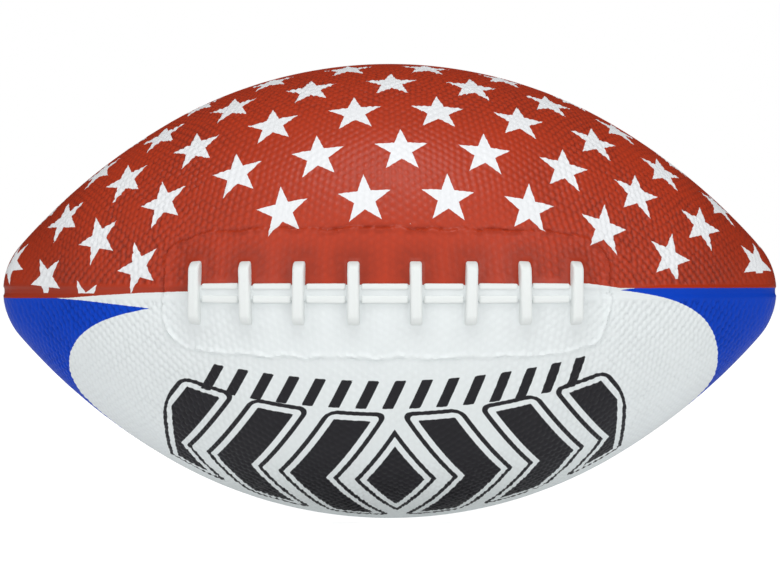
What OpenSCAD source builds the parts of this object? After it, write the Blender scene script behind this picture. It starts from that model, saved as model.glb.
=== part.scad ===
// American football of moulded rubber, built up in layers as it comes off the former.
// X runs from tip to tip, the lacing faces -Y and +Z is up. The origin is the middle of the ball.

/* [Outline] */
// Length of the ball from tip to tip
ball_length = 225; // [215:1:235]
// Diameter at the middle, over the cover
ball_dia = 132; // [126:1:138]
// Radius of the blunt tips
tip_r = 20; // [17:0.5:22]
// How much tighter the belly is rounded than one plain arc from tip to tip would be
belly_rounding = 8; // [0:0.5:12]
// Distance from the centre at which the belly's arc gives way to the flatter flank
belly_reach = 64; // [60:1:70]

/* [Layers] */
// Thickness of the moulded cover panels
cover_t = 1.5; // [1.2:0.1:2.5]
// Thickness of the rubber carcass under the cover
carcass_t = 0.9; // [0.6:0.1:1.6]
// Thickness of the wound nylon thread
winding_t = 0.7; // [0.5:0.1:1.4]
// Thickness of the air bladder
bladder_t = 0.9; // [0.6:0.1:1.6]
// Film of cement between two layers
film_t = 0.1; // [0.06:0.02:0.2]

/* [Seams] */
// Width of the channel where two panels meet
seam_w = 2.8; // [1:0.1:3.2]
// Depth of that channel
seam_depth = 0.4; // [0.3:0.1:0.8]

/* [Lacing] */
// Number of cross laces
lace_count = 8; // [4:1:8]
// Distance between neighbouring cross laces, along the seam
lace_pitch = 15.3; // [14:0.1:16]
// Distance between the two cross laces at the middle
lace_middle_pitch = 17.2; // [15:0.1:19]
// Length of a cross lace
lace_length = 18; // [14:0.5:22]
// Width of a cross lace
lace_w = 3.2; // [2.4:0.1:3.6]
// How far a cross lace stands above the cover
lace_h = 2.4; // [1.8:0.1:2.8]
// Radius of the hooded ends of a cross lace
lace_hood_r = 1.9; // [1.2:0.1:2.2]
// Radius of the corners of a cross lace
lace_corner_r = 0.8; // [0.4:0.1:1]
// Width of each strand that runs under the cross laces
strand_w = 1.9; // [1.4:0.1:2.4]
// Open channel between the two strands
strand_gap = 1.7; // [1:0.1:2.4]
// How far the strands stand above the cover
strand_h = 1; // [0.6:0.1:1.4]
// How deep strands and cross laces are let into the cover
lace_bed = 0.4; // [0.2:0.05:0.6]
// Clearance of the lacing in its beds
lace_clear = 0.05; // [0.03:0.01:0.1]

/* [Lacing patch] */
// How far the oval patch that stiffens the cover reaches past the first and the last cross lace
patch_end_margin = 8.5; // [6:0.5:16]
// How far the patch reaches past the ends of the cross laces
patch_side_margin = 7.5; // [4:0.5:11]
// Thickness of the patch
patch_t = 0.5; // [0.3:0.1:0.6]

/* [Valve] */
// Angle of the valve below the back seam
valve_angle = 25; // [20:1:60]
// Radius of the valve seat where it comes through the cover
seat_r = 4.6; // [4.2:0.1:6]
// How deep the valve seat reaches below the cover
seat_depth = 12; // [11.5:0.5:16]
// Radius of the flange that holds the seat in the bladder
flange_r = 9; // [7.5:0.5:12]
// Thickness of that flange
flange_t = 1; // [0.8:0.1:1.6]
// How far the seat and the plug lie below the surface of the cover
valve_dip = 0.4; // [0.3:0.05:0.6]
// Radius of the head of the valve plug
plug_head_r = 3.3; // [3:0.1:3.8]
// Height of that head
plug_head_h = 1.5; // [1:0.1:2]
// Radius of the stem of the valve plug
plug_stem_r = 2.3; // [2:0.1:2.7]
// Length of the plug with its head
plug_length = 11; // [10.6:0.1:11.2]
// Radius of the channel for the inflation needle
needle_r = 1; // [0.8:0.05:1.2]
// Depth of that channel below the funnel
needle_depth = 8; // [7:0.1:8.4]
// Radius of the funnel that guides the needle in
funnel_r = 1.7; // [1.4:0.1:2.2]
// Depth of the funnel
funnel_depth = 0.9; // [0.6:0.1:1.2]
// Clearance round the valve parts
valve_clear = 0.06; // [0.04:0.01:0.12]

/* [Hidden] */
$fn = 96;

// Steps on each rounded corner
corner_steps = 6;
// Steps along half of the belly arc, along a flank and round a tip
belly_steps = 16;
flank_steps = 8;
tip_steps = 8;
// Steps round the edge of the oval patch
oval_steps = 72;
// Overrun of every cut past the surface that it opens
over = 1;
ball_r = ball_dia / 2;
// Length of what has to reach right through the ball
through = ball_length;

// The meridian in its own plane: x is the distance from the long axis, y runs along it.
// One plain arc would touch both the middle of the ball and the rounded tip.
tip_c = [0, ball_length / 2 - tip_r];
plain_r = (ball_r * ball_r + tip_c * tip_c - tip_r * tip_r) / (2 * (ball_r - tip_r));
belly_r = plain_r - belly_rounding;
belly_c = [ball_r - belly_r, 0];
belly_a = asin(belly_reach / belly_r);
belly_dir = [cos(belly_a), sin(belly_a)];
flank_gap = tip_c - belly_c - belly_r * belly_dir;
flank_r = (tip_r * tip_r - flank_gap * flank_gap) / (2 * (flank_gap * belly_dir + tip_r));
flank_c = belly_c + (belly_r - flank_r) * belly_dir;
flank_a = atan2(tip_c.y - flank_c.y, tip_c.x - flank_c.x);
right_a = 90;
flank_step = (flank_a - belly_a) / flank_steps;
tip_step = (right_a - flank_a) / tip_steps;

// Depth of each layer's outer face below the cover's own
carcass_depth = cover_t + film_t;
winding_depth = carcass_depth + carcass_t + film_t;
bladder_depth = winding_depth + winding_t + film_t;
inside_depth = bladder_depth + bladder_t;
patch_depth = cover_t - patch_t;

// Where the cross laces stand, as angles along the belly arc, from the left lace to the right one
function lace_step(i) = i - (lace_count + 1) / 2;
function lace_reach(i) =
    sign(lace_step(i)) * (lace_middle_pitch / 2 + (abs(lace_step(i)) - 1 / 2) * lace_pitch);
function along_belly(reach) = reach / belly_r * 180 / PI;
function lace_angle(i) = along_belly(lace_reach(i));
function seam_radius(angle) = belly_c.x + belly_r * cos(angle);
strand_a = lace_angle(lace_count);
patch_length = 2 * (lace_reach(lace_count) + patch_end_margin);
patch_w = lace_length + 2 * patch_side_margin;

cover_red = [0.70, 0.25, 0.16];
cover_white = [0.92, 0.94, 0.94];
lace_white = [0.97, 0.98, 0.97];
rubber_black = [0.10, 0.10, 0.11];
thread_cream = [0.86, 0.82, 0.70];
bladder_tan = [0.55, 0.38, 0.22];
patch_grey = [0.45, 0.45, 0.47];

// Corner points of a rectangle that has its corners rounded
function rounded_box(length, width, r) = [
    for (corner = [[1, 1, 0], [-1, 1, 90], [-1, -1, 180], [1, -1, 270]])
        for (k = [0:corner_steps])
            let (a = corner[2] + k * right_a / corner_steps)
                [corner[0] * (length / 2 - r) + r * cos(a), corner[1] * (width / 2 - r) + r * sin(a)]
];

function oval(length, width) = [
    for (k = [0:oval_steps - 1])
        let (a = k * 360 / oval_steps)
            [length / 2 * cos(a), width / 2 * sin(a)]
];

// Points along an arc about c, from one direction to another
function arc(c, r, start, end, steps) = [
    for (k = [0:steps])
        let (a = start + k * (end - start) / steps)
            c + r * [cos(a), sin(a)]
];

// The meridian at one depth below the cover, from the middle of the ball to the tip
function half_meridian(depth) = concat(
    arc(belly_c, belly_r - depth, 0, belly_a, belly_steps),
    arc(flank_c, flank_r - depth, belly_a + flank_step, flank_a, flank_steps - 1),
    arc(tip_c, tip_r - depth, flank_a + tip_step, right_a, tip_steps - 1)
);

// The same from the middle to the other tip, and a list taken backwards
function opposite(points) = [for (p = points) [p.x, -p.y]];
function backwards(points) = [for (k = [len(points) - 1:-1:0]) points[k]];
function after_first(points) = [for (k = [1:len(points) - 1]) points[k]];

function meridian(depth) = concat(
    backwards(after_first(opposite(half_meridian(depth)))),
    half_meridian(depth)
);

module turned_about_x(turn, angle) {
    rotate([turn, 0, 0]) rotate([0, 90, 0]) rotate_extrude(angle = angle) children();
}

// Layer of the ball between two depths below the cover, turned through an angle from turn onwards
module layer(from, to, turn = 0, angle = 360) {
    turned_about_x(turn, angle) polygon(concat(meridian(from), backwards(meridian(to))));
}

// Frame of the valve: z points out of the ball and is 0 at the surface of the cover
module at_valve() {
    rotate([-(right_a + valve_angle), 0, 0]) translate([0, 0, ball_r]) children();
}

module valve_hole() {
    at_valve() translate([0, 0, -through / 4]) cylinder(r = seat_r + valve_clear, h = through / 2);
}

module bladder() {
    color(bladder_tan) difference() {
        layer(bladder_depth, inside_depth);
        valve_hole();
    }
}

module nylon_winding() {
    color(thread_cream) difference() {
        layer(winding_depth, winding_depth + winding_t);
        valve_hole();
    }
}

module rubber_carcass() {
    color(rubber_black) difference() {
        layer(carcass_depth, carcass_depth + carcass_t);
        valve_hole();
    }
}

module valve_seat() {
    color(rubber_black) difference() {
        union() {
            at_valve() translate([0, 0, -seat_depth]) cylinder(r = seat_r, h = seat_depth - valve_dip);
            intersection() {
                at_valve() translate([0, 0, -seat_depth]) cylinder(r = flange_r, h = seat_depth);
                layer(inside_depth + film_t, inside_depth + film_t + flange_t);
            }
        }
        at_valve() translate([0, 0, -seat_depth - over])
            cylinder(r = plug_stem_r + valve_clear, h = seat_depth + 2 * over);
        at_valve() translate([0, 0, -valve_dip - plug_head_h - valve_clear])
            cylinder(r = plug_head_r + valve_clear, h = plug_head_h + over);
    }
}

module valve_plug() {
    color(rubber_black) at_valve() translate([0, 0, -valve_dip]) difference() {
        union() {
            translate([0, 0, -plug_length]) cylinder(r = plug_stem_r, h = plug_length);
            translate([0, 0, -plug_head_h]) cylinder(r = plug_head_r, h = plug_head_h);
        }
        translate([0, 0, -funnel_depth - needle_depth]) cylinder(r = needle_r, h = needle_depth + over);
        translate([0, 0, -funnel_depth]) cylinder(r1 = needle_r, r2 = funnel_r, h = funnel_depth);
    }
}

// Prism of the patch's oval, from the long axis out through the front of the ball
module patch_column(grow) {
    rotate([right_a, 0, 0]) linear_extrude(height = through)
        polygon(oval(patch_length + 2 * grow, patch_w + 2 * grow));
}

module lacing_patch() {
    color(patch_grey) intersection() {
        patch_column(0);
        layer(patch_depth, cover_t);
    }
}

module patch_pocket() {
    intersection() {
        patch_column(film_t);
        layer(patch_depth - film_t, cover_t + over);
    }
}

// Slice of a strand's curve, as tall as the strand and its bed, over the belly arc
module strand_curve(grow) {
    translate([0, belly_c.x]) intersection() {
        difference() {
            circle(belly_r + strand_h + grow);
            circle(belly_r - lace_bed - grow);
        }
        polygon([
            [0, 0],
            2 * belly_r * [sin(strand_a), cos(strand_a)],
            2 * belly_r * [-sin(strand_a), cos(strand_a)]
        ]);
    }
}

// One strand of the lacing: side is 1 above the seam and -1 below it
module strand(side, grow) {
    mid = side * (strand_gap + strand_w) / 2;
    translate([0, 0, mid - strand_w / 2 - grow]) mirror([0, 1, 0])
        linear_extrude(height = strand_w + 2 * grow) strand_curve(grow);
}

// Frame of cross lace i: z points out of the ball, x runs along the seam
module at_lace(i) {
    translate([0, -belly_c.x, 0]) rotate([right_a, 0, 0]) rotate([0, lace_angle(i), 0])
        translate([0, 0, belly_r]) children();
}

// Band round the ball under and above cross lace i, with its top corners rounded
module lace_band(i, grow, r) {
    height = lace_bed + lace_h + 2 * grow;
    turned = lace_angle(i);
    spread = (lace_length / 2 + grow) / seam_radius(turned) * 180 / PI;
    turned_about_x(right_a * 3 - spread, 2 * spread) translate(belly_c) rotate(turned)
        translate([belly_r - lace_bed - grow + height / 2, 0])
            intersection() {
                translate([-r / 2, 0]) polygon(rounded_box(height + r, lace_w + 2 * grow, r));
                square([height, lace_w + 2 * grow], center = true);
            }
}

// Outline of a cross lace seen from the side, with its two outer ends hooded
module lace_side() {
    height = lace_bed + lace_h + lace_hood_r;
    translate([0, lace_h + lace_clear - height / 2])
        polygon(rounded_box(lace_length, height, lace_hood_r));
}

// Room under cross lace i for one strand, which ends under the first and the last lace
module strand_channel(i, side) {
    left = i == 1 ? -lace_clear : -lace_w;
    right = i == lace_count ? lace_clear : lace_w;
    width = strand_w + 2 * lace_clear;
    mid = side * (strand_gap + strand_w) / 2;
    at_lace(i) translate([left, mid - width / 2, -lace_bed - over])
        cube([right - left, width, over + lace_bed + strand_h + lace_clear]);
}

module cross_lace(i) {
    color(lace_white) difference() {
        intersection() {
            lace_band(i, 0, lace_corner_r);
            at_lace(i) rotate([right_a, 0, right_a])
                translate([0, 0, -lace_w]) linear_extrude(height = 2 * lace_w) lace_side();
            at_lace(i) translate([0, 0, -through / 4]) linear_extrude(height = through / 2)
                polygon(rounded_box(lace_w, lace_length, lace_corner_r));
        }
        strand_channel(i, 1);
        strand_channel(i, -1);
    }
}

module lacing_beds() {
    strand(1, lace_clear);
    strand(-1, lace_clear);
    for (i = [1:lace_count]) lace_band(i, lace_clear, 0);
}

// Channel along both edges of a panel that spans from -Z round to +Y
module seam_channels() {
    intersection() {
        union() {
            translate([-through, -seam_w / 2, -through]) cube([2 * through, seam_w, through]);
            translate([-through, 0, -seam_w / 2]) cube([2 * through, through, seam_w]);
        }
        layer(-over, seam_depth);
    }
}

// A quarter of the cover. Turn 0 is the lower back panel, and each 90 degrees goes one panel on.
module panel(turn) {
    difference() {
        layer(0, cover_t, turn, right_a);
        rotate([turn, 0, 0]) seam_channels();
    }
}

module panel_front(turn) {
    difference() {
        panel(turn);
        patch_pocket();
        lacing_beds();
    }
}

module panel_front_upper() {
    color(cover_red) panel_front(180);
}

module panel_front_lower() {
    color(cover_white) panel_front(270);
}

module panel_back_upper() {
    color(cover_red) panel(90);
}

module panel_back_lower() {
    color(cover_white) difference() {
        panel(0);
        valve_hole();
    }
}

module lace_strand_upper() {
    color(lace_white) strand(1, 0);
}

module lace_strand_lower() {
    color(lace_white) strand(-1, 0);
}

bladder();
valve_seat();
valve_plug();
nylon_winding();
rubber_carcass();
lacing_patch();
panel_front_upper();
panel_front_lower();
panel_back_upper();
panel_back_lower();
lace_strand_upper();
lace_strand_lower();
for (i = [1:lace_count])
    cross_lace(i);
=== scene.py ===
"""Looks of a moulded rubber football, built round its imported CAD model.

The ball is drawn in millimetres and scaled to metres as each mesh is made. X runs from tip to tip,
the lacing faces -Y and +Z is up. A place on the ball is given by its arc length along the meridian,
counted from the middle, and by its angle round the long axis, counted up from the laced seam.

Each cover panel is drawn smooth first, and its vertices keep how far they are from the seams, from the
lacing and from the edges of the prints. A Geometry Nodes tree raises the grain from that, and the paint
reads it too.
"""

import math

import bmesh
import bpy
import numpy as np
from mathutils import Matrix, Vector


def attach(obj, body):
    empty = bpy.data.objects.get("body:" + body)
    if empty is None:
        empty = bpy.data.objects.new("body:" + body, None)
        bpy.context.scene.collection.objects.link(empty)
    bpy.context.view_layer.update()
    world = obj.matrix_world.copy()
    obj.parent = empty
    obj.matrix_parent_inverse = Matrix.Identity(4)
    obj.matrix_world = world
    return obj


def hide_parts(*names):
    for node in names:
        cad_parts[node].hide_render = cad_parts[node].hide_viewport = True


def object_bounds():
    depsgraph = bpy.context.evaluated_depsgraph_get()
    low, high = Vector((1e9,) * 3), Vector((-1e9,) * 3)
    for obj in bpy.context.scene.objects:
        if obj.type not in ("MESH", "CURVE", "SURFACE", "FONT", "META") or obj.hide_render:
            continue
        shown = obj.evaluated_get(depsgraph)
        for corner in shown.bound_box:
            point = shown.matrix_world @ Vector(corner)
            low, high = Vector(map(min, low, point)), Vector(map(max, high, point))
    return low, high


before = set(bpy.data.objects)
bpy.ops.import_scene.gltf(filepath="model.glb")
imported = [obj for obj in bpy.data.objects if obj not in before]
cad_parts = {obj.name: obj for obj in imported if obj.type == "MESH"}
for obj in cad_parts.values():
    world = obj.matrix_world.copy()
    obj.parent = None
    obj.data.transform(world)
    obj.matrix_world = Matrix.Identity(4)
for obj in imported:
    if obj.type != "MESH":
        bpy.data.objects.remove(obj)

CAD_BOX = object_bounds()
MM = 0.001
QUARTER = math.pi / 2
PANEL_MIDDLE = math.pi / 4

# Outline of the ball
BALL_LENGTH = (CAD_BOX[1].x - CAD_BOX[0].x) / MM
BALL_RADIUS = (CAD_BOX[1].z - CAD_BOX[0].z) / MM / 2
TIP_RADIUS = 20
BELLY_ROUNDING = 8
BELLY_REACH = 64
COVER_THICKNESS = 1.5

# Cover mesh. The vertices nearest to a seam stand in columns at set distances from it, except in rows
# narrower than NARROW_ROW. The relief of the skin fades out between its two depths
COVER_STEP = 0.46
LINING_STEP = 4
VALVE_LINING_STEP = 1.5
SEAM_COLUMNS = (0, 0.35, 0.7, 1.05, 1.4, 1.8)
NARROW_ROW = 12
SKIN_DEPTHS = (0.2, 0.5)
CREASE_ANGLE = math.radians(50)

# Flat sheet laid over a panel: how much its lines bow out below and above its middle line, what is added
# to tell the panels apart in the noise, and the scale that brings it into the unit square
SHEET_BOW = (1 / 12, 1 / 8)
LOWER_SHEET = 50
BACK_SHEET = 25
SHEET_SCALE = 1 / 300
# Distance that a panel keeps where it has nothing near
FAR_AWAY = 50.0

# Noise: the step between two seeds, and the span in which most of it lies
SEED_STEP = 100
NOISE_SPAN = (0.3, 0.7)

# Pebbled grain: columns of pebbles stand across the laced seam and lean with it towards the tips.
# Spacings, the reach of a pebble and the bare ground past it are shares of the pitch
PEBBLE_PITCH = 2.0
PEBBLE_COLUMN_SPACING = 0.8
PEBBLE_ROW_SPACING = 1.2
PEBBLE_COLUMNS = 170
PEBBLE_ROWS = 58
PEBBLE_LEAN = 0.3
PEBBLE_LEAN_REACH = 50
PEBBLE_WAVER = 5
PEBBLE_WAVER_LENGTH = 24
PACKING_STEPS = 30
PACKING_PUSH = 0.45
PEBBLE_HEIGHTS = {"upper": 0.7, "lower": 0.65}
PEBBLE_SEEDS = {"upper": 3, "lower": 8}
PEBBLE_REACH = 0.56
PEBBLE_DRAWN_OUT = 0.33
PEBBLE_CROWN_POWER = 2.4
PEBBLE_LOWEST = 0.85
PEBBLE_SMALLEST = 0.68
PEBBLE_RAGGEDNESS = 0.4
PEBBLE_RAGGED_SCALE = 1.1
BARE_GROUND = (0.6, 0.78)

# Strength of the grain: the stretches, in millimetres, over which it grows or fades, and the share of it
# that is left
FLANK_ALONG = (26, 74)
FLANK_ACROSS = (-5, 30)
MIDDLE_SHARE = 0.3
UPPER_FLANK_ALONG = (50, 80)
UPPER_FLANK_ACROSS = (-20, 20)
UPPER_FLANK_LOSS = 0.3
TIP_STRETCH = (103, 128)
TIP_SHARE = 0.35
SEAM_STRETCH = (1.6, 3.2)
PATCH_STRETCH = (-4, 10)
PATCH_SHARE = 0.65
RAIL_STRETCH = (0.4, 2.5)
BLOTCH_LENGTH = 9
BLOTCH_SHARE = 0.75

# Seams. No pebble has its middle within the margin
SEAM_MARGIN = 2.6
SEAM_HALF_WIDTH = 1.4
SEAM_DEPTH = 0.35
SEAM_SHADE = 0.3
SEAM_SHADE_STRETCH = (1.4, 3.2)

# Patch under the lacing, and the broken wrinkle that its edge leaves in the cover. The groove lies beside
# the ridge, at a distance in half widths of the ridge
PATCH_END_MARGIN = 10.3
PATCH_SIDE_MARGIN = 8.7
PATCH_BLUNTNESS = 5
RIDGE_HEIGHT = 0.85
RIDGE_HALF_WIDTH = 0.55
RIDGE_WANDER = 4
RIDGE_WANDER_LENGTH = 7
RIDGE_BREAK_LENGTH = 3.5
RIDGE_BREAK_SPAN = (0.4, 0.6)
RIDGE_BREAK_SHARE = 0.4
GROOVE_DEPTH = 0.45
GROOVE_PLACE = 1.7
GROOVE_SHARPNESS = 1.4
GROOVE_SHADE = 0.55

# Cross laces
LACE_COUNT = 8
LACE_PITCH = 15.3
LACE_MIDDLE_PITCH = 17.2
LACE_LENGTH = 18
LACE_WIDTH = 3.2
LACE_HEIGHT = 2.4
LACE_BED = 0.4
LACE_CORNER = 0.8
LACE_FLARE = 0.12
LACE_SLANT = 0.02
LACE_SLANT_TURN = 2.4
LACE_UNEVENNESS = 0.08
LACE_CUTS = (9, 48, 10)
HOOD_LENGTH = 2.8
HOOD_BEND_POWER = 1.7
HOOD_DROP_SHARE = 0.8
FILLET_HEIGHT = 0.35
FILLET_REACH = 1.1
FILLET_START = -0.2

# Rail under the cross laces: the place and the width of each strand, rounded lengths on a thin core, and
# the low fill between the strands
STRAND_UPPER = (1.85, 1.75)
STRAND_LOWER = (-1.68, 2.15)
STRAND_HEIGHT = 1
STRAND_CORNER = 0.55
STRAND_UNEVENNESS = 0.05
STRAND_SEED_SHARE = 9.0
STRAND_END_GAP = 0.5
STRAND_CUTS = (40, 7, 6)
CORE_WIDTH = 1.1
CORE_HEIGHT = 0.45
CORE_CORNER = 0.3
CORE_CUTS = (220, 5, 4)
RAIL_FILL = 0.55
RAIL_FILL_EDGE = (0, 0.3)
RAIL_FILL_STRETCH = (1.8, 2.4)
# Noise that makes the cross laces and the rail uneven
MOULDING_NOISE_SCALE = 0.45
MOULDING_SEED_STEP = 31

# Tab of flash past the last cross lace
TAB_GAP = 5
TAB_HALF_SIZE = 3
TAB_DROP = 0.3
TAB_HEIGHT = 0.3
TAB_EDGE = (-0.4, 0.3)
TAB_RAGGEDNESS = 3
TAB_RAGGED_LENGTH = 2.2

# Valve
VALVE_ANGLE = math.radians(25)
VALVE_HOLE_RADIUS = 4.66
VALVE_HOLE_SIDES = 96

# Star print: a flat sheet of staggered rows, laid on the panel a little turned
STAR_RADIUS = 7.8
STAR_INNER_SHARE = 0.4
STAR_PITCH = 23.55
STAR_ROW_PITCH = 15.6
STAR_ROW_SHIFT = 10.95
STAR_TURN = math.radians(2.82)
STAR_ORIGIN = (-9.0, 6.25)
# First and last row, and the column and row of each star that is left out of them
STAR_ROWS = (-2, 2)
STARS_LEFT_OUT = ((-1, 2), (6, 2), (-5, 1))
# Lower edge of the star print in front: place along the axis and height above it. At the back it is a
# plain margin over the seam
STAR_EDGE = ((-113, -0.4), (-80, -0.3), (60, 1.5), (78, 3.5), (98, 5.2), (113, 5.4))
STAR_MARGIN = 1

# Lower edge of the red print: arc length along the ball and height above the laced seam
RED_EDGE = (
    (-138, -2.1), (-100, -1.7), (-88, -0.9), (-73, -0.1), (-55, 0.5), (-54.4, 2.1),
    (55, 2.1), (56, 2.65), (58.5, 2.6), (62, 2.2), (69, 1.3), (97, 1.2), (138, 1),
)
# Upper edge of the blue ends, in the same measures
BLUE_EDGE = (
    (-138, -1.6), (-108, -1.4), (-103, -1.9), (-95, -2.3), (-84, -3.2), (-70, -4.4), (-60, -5.2),
    (60, -0.6), (66, 0.3), (70, 0.9), (77, 1.6), (84, 2.2), (138, 2),
)
# The white field between the blue ends closes in a curve: its reach at the middle, how wide the curve
# is and its power
WHITE_REACH_LEFT = 101
WHITE_REACH_RIGHT = 105
WHITE_CURVE_LEFT = (6.13, 2)
WHITE_CURVE_RIGHT = (7.8, 2.2)
WHITE_OFFSET = 1.5

# Motif on the lower panel: diamonds nested in chevrons, with a thin line round each and a row of slanted
# bars above
MOTIF_MIDDLE = 2.5
MOTIF_TOP = 14
MOTIF_BOTTOM = -34
MOTIF_BOTTOM_RISE = 14
MOTIF_HALF_LENGTH = 66
MOTIF_LINE = (1.7, 3.0)
CHEVRON_PITCH = 22
CHEVRON_WIDTH = 10.5
CHEVRON_SLOPE = 0.55
CHEVRON_START = 3
BAR_PITCH = 7.6
BAR_WIDTH = 3.2
BAR_HALF_HEIGHT = 4.4
BAR_LEAN = 0.45
BAR_BASE = 22.5
BAR_SAG = 3.2
BAR_HALF_LENGTH = 57
MOTIF_SOFTNESS = 0.06

# Paints: the colour as linear light, the share of it that is left in the valleys of the grain as painted
# shade, and how far it goes to black as painted shade at the tips and beside the laces
RED_PAINT = ((0.49, 0.037, 0.006), 0.58, 0.2, 0.3)
STAR_PAINT = ((0.835, 0.855, 0.875), 0.96, 0.03, 0)
WHITE_PAINT = ((0.805, 0.85, 0.855), 0.92, 0, 0.07)
BLUE_PAINT = ((0, 0.058, 0.6), 0.74, 0.14, 0)
BLACK_PAINT = (0.01, 0.009, 0.013)
PAINT_MOTTLE = 0.05
PAINT_SOFTNESS = 0.05
PAINT_RAGGEDNESS = 0.28
PAINT_RAGGED_SCALE = 1.1
PAINT_ROUGHNESS = (0.32, 0.42)
PAINT_TONE_SCALE = 0.05
PAINT_FINE_SCALE = 3.2
PAINT_SHINE = 0.4
BLUE_SHINE = 0.1
SHINE_SOFTNESS = 0.1
# Painted shade that darkens the paint towards the tips, over this stretch of arc length
TIPS_DARKEN = (85, 115)
# Painted shade beside the cross laces: its reach, the scale and span of the noise that breaks it up, and its
# least share
LACE_SHADE_REACH = (0.3, 8)
LACE_SHADE_SCALE = 0.4
LACE_SHADE_SPAN = (0.35, 0.65)
LACE_SHADE_SHARE = 0.7
# Painted shade in the valleys of the grain: the power and the gain of its share
VALLEY_SHADE_POWER = 1.2
VALLEY_SHADE_GAIN = 1.6
VALLEY_ROUGHNESS = 0.25

# Colours of the rubber and the cloth, as linear light, with the scales of the rubber's mottle and grain
RUBBER_CLOUD_SCALE = 90.0
RUBBER_FINE_SCALE = 700.0
LACE_RUBBER = (0.805, 0.84, 0.83)
# Share of the lace colour left at the foot of each bar, as painted shade
LACE_FOOT_SHADE = 0.82
VALVE_RUBBER = (0.02, 0.02, 0.022)
BLADDER_RUBBER = (0.26, 0.12, 0.045)
THREAD = (0.70, 0.62, 0.45)
CARCASS_RUBBER = (0.015, 0.015, 0.017)
PATCH_CLOTH = (0.17, 0.17, 0.19)
THREAD_PITCH = 0.4
CLOTH_PITCH = 0.6

# Camera of the photograph
CAMERA_DISTANCE = 1275
CAMERA_AZIMUTH = math.radians(1.063)
CAMERA_ELEVATION = math.radians(0.581)
PHOTO_WIDTH = 780
PHOTO_HEIGHT = 585
FOCAL_PIXELS = 4383
MIDDLE_PIXEL = (389.26, 291.0)
SENSOR_WIDTH = 36
CLIP_RANGE = (0.05, 20)

# Light, in watts and metres. The strengths of the room and the floor are for what the camera sees, for
# reflections and for all other light, and the room is lighter in front of the ball
ROOM_LIGHT = (1, 0.02, 0.51)
ROOM_FRONT = (0.6, 0.38)
FLOOR_GLOW = (0.8, 0, 0.34)
FLOOR_COLOUR = (0.65, 0.65, 0.65)
FLOOR_HALF_SIZE = 4
SOFT_LIGHTS = (
    ("key", (0, -0.8, 1.4), (0.7, 0.5), 6.5),
    ("left", (-1.0, -1.2, 0.35), (0.4, 0.5), 1.7),
    ("right", (1.0, -1.2, 0.35), (0.4, 0.5), 2.6),
)


# Outline

class Meridian:
    """Outline of the ball from its middle to a tip: a belly arc, a flatter flank and a rounded tip."""

    def __init__(self):
        tip = np.array([BALL_LENGTH / 2 - TIP_RADIUS, 0.0])
        plain = (BALL_RADIUS**2 + tip @ tip - TIP_RADIUS**2) / (2 * (BALL_RADIUS - TIP_RADIUS))
        belly_radius = plain - BELLY_ROUNDING
        belly = np.array([0.0, BALL_RADIUS - belly_radius])
        turn = math.asin(BELLY_REACH / belly_radius)
        out = np.array([math.sin(turn), math.cos(turn)])
        gap = tip - belly - belly_radius * out
        flank_radius = (TIP_RADIUS**2 - gap @ gap) / (2 * (gap @ out + TIP_RADIUS))
        flank = belly + (belly_radius - flank_radius) * out
        flank_turn = math.atan2(tip[0] - flank[0], tip[1] - flank[1])
        self.centres = np.array([belly, flank, tip])
        self.radii = np.array([belly_radius, flank_radius, TIP_RADIUS])
        self.turns = np.array([0, turn, flank_turn, QUARTER])
        lengths = self.radii * np.diff(self.turns)
        self.marks = np.concatenate([[0], np.cumsum(lengths)])
        self.half = self.marks[-1]

    def at(self, arc, depth=0):
        """Distance along the axis, distance from it, and the outward direction, at an arc length."""
        reach = np.abs(arc)
        part = np.clip(np.searchsorted(self.marks, reach, side="right") - 1, 0, 2)
        turn = self.turns[part] + (reach - self.marks[part]) / self.radii[part]
        along, outward = np.sin(turn) * np.sign(arc), np.cos(turn)
        radius = self.radii[part] - depth
        x = self.centres[part, 0] * np.sign(arc) + radius * along
        r = self.centres[part, 1] + radius * outward
        return x, np.maximum(r, 0), along, outward

    def locate(self, x, r):
        """Arc length and depth under the surface of a point given by its two distances."""
        arc = np.zeros_like(x)
        depth = np.zeros_like(x)
        reach = np.abs(x)
        done = np.zeros(x.shape, bool)
        for part in range(3):
            across = r - self.centres[part, 1]
            along = reach - self.centres[part, 0]
            turn = np.arctan2(along, across)
            here = ~done & ((turn <= self.turns[part + 1]) | (part == 2))
            turned = turn - self.turns[part]
            arc = np.where(here, self.marks[part] + turned * self.radii[part], arc)
            depth = np.where(here, self.radii[part] - np.hypot(along, across), depth)
            done |= here
        return arc * np.sign(x), depth


BALL = Meridian()


def lace_place(number):
    """Arc length at which a cross lace stands, from 1 at the left to the last at the right."""
    step = number - (LACE_COUNT + 1) / 2
    return math.copysign(LACE_MIDDLE_PITCH / 2 + (abs(step) - 0.5) * LACE_PITCH, step)


# Meshes

def plain_mesh(name, points, triangles):
    """Mesh of millimetre points and triangles, in metres."""
    mesh = bpy.data.meshes.new(name)
    mesh.vertices.add(len(points))
    mesh.vertices.foreach_set("co", (np.asarray(points) * MM).astype(np.float32).ravel())
    mesh.loops.add(3 * len(triangles))
    mesh.loops.foreach_set("vertex_index", np.asarray(triangles, np.int32).ravel())
    mesh.polygons.add(len(triangles))
    mesh.polygons.foreach_set("loop_start", np.arange(0, 3 * len(triangles), 3, dtype=np.int32))
    mesh.update(calc_edges=True)
    mesh.validate()
    return mesh


def new_object(name, data):
    """Object with its data, put in the scene."""
    made = bpy.data.objects.new(name, data)
    bpy.context.scene.collection.objects.link(made)
    return made


def points_of(mesh):
    """Places of a mesh's vertices, in millimetres."""
    places = np.empty(3 * len(mesh.vertices), np.float32)
    mesh.vertices.foreach_get("co", places)
    return places.reshape(-1, 3).astype(float) / MM


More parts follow.
